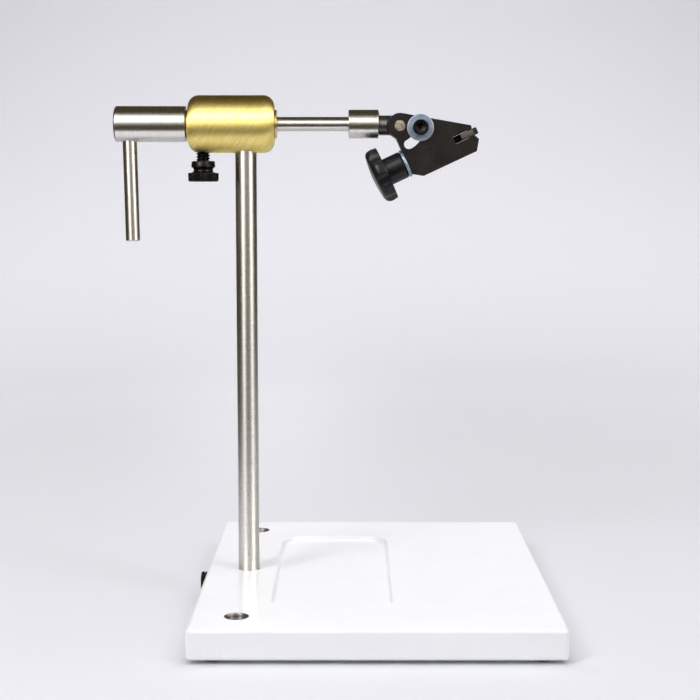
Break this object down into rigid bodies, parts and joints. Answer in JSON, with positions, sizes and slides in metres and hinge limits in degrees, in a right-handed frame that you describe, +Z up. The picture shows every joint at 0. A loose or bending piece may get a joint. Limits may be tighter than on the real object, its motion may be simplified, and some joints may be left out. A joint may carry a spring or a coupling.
{
  "type": "fly tying vise",
  "caption": "Rotary fly tying vise: draw-fork jaws on a cranked spindle in a brass hub, on a steel stem in a coated pedestal base with a tray recess and tool post holes.",
  "frame": {"origin": "the bottom centre of the whole part's box, on the table plane; the stem's centre line is 37.725 mm to its left", "axes": "+Z up along the stem, +X along the rotary axis towards the jaws (the crank is at -X), -Y towards the front where the tilt screw's head is"},
  "size_m": [0.1912, 0.1906, 0.2286],
  "materials": {
    "white_coat": "gloss white powder coat",
    "foot_rubber": "matte black",
    "stainless": "brushed round",
    "hub_brass": "brushed at a slant",
    "bushing_bronze": "sintered, turned",
    "black_oxide": "black oxide, satin",
    "tip_nylon": "natural",
    "zinc_plate": "clear zinc plate",
    "pin_steel": "ground, straw tinted",
    "fork_steel": "bright ground",
    "knob_plastic": "satin moulded",
    "insert_brass": "turned"
  },
  "bodies": {
    "base": {"base_plate": "white_coat", "rubber_feet": "foot_rubber"},
    "base_screw": {"base_thumb_screw": "black_oxide"},
    "stem": {"stem": "stainless", "hub": "hub_brass", "left_bushing": "bushing_bronze", "right_bushing": "bushing_bronze", "stem_set_screw": "black_oxide"},
    "tension_screw": {"tension_screw": "black_oxide", "tension_tip": "tip_nylon"},
    "spindle": {"spindle": "stainless", "crank_cylinder": "stainless", "crank_handle": "stainless", "crank_set_screw": "black_oxide", "collar": "stainless", "collar_set_screw": "black_oxide", "tongue": "black_oxide", "pivot_pin": "pin_steel", "tilt_washer": "zinc_plate"},
    "tilt_screw": {"tilt_screw": "black_oxide"},
    "head": {"front_cheek": "black_oxide", "rear_cheek": "black_oxide", "cheek_dowels": "pin_steel", "cheek_screws": "black_oxide", "knob_washer": "zinc_plate"},
    "knob": {"jaw_knob": "knob_plastic", "knob_insert": "insert_brass"},
    "fork": {"draw_rod": "black_oxide", "jaw_fork": "fork_steel"}
  },
  "joints": [
    {"name": "base_screw_turn", "type": "hinge", "parent": "base", "child": "base_screw", "pos_m": [-0.05677, 0, 0.00795], "axis": [-1, 0, 0], "range_deg": [0, 1080]},
    {"name": "stem_swivel", "type": "hinge", "parent": "base", "child": "stem", "pos_m": [-0.03773, 0, 0.0143], "axis": [0, 0, 1], "continuous": true},
    {"name": "tension_screw_turn", "type": "hinge", "parent": "stem", "child": "tension_screw", "pos_m": [-0.05677, 0, 0.2], "axis": [0, 0, -1], "range_deg": [-60, 1440]},
    {"name": "rotary_spin", "type": "hinge", "parent": "stem", "child": "spindle", "pos_m": [0, 0, 0.2159], "axis": [1, 0, 0], "continuous": true},
    {"name": "tilt_screw_turn", "type": "hinge", "parent": "spindle", "child": "tilt_screw", "pos_m": [0.03954, 0, 0.21423], "axis": [0, -1, 0], "range_deg": [0, 1080]},
    {"name": "head_tilt", "type": "hinge", "parent": "spindle", "child": "head", "pos_m": [0.03058, 0, 0.21505], "axis": [0, -1, 0], "range_deg": [-8, 52]},
    {"name": "jaw_knob_turn", "type": "hinge", "parent": "head", "child": "knob", "pos_m": [0.03738, 0, 0.20046], "axis": [-0.9063, 0, -0.4226], "range_deg": [-220, 900]},
    {"name": "jaw_fork_slide", "type": "slide", "parent": "head", "child": "fork", "axis": [0.9063, 0, 0.4226], "range_m": [-0.00039, 0.00159]}
  ],
  "couplings": [
    {"joint": "jaw_fork_slide", "follows": "jaw_knob_turn", "m_per_rad": 0.00010106}
  ]
}
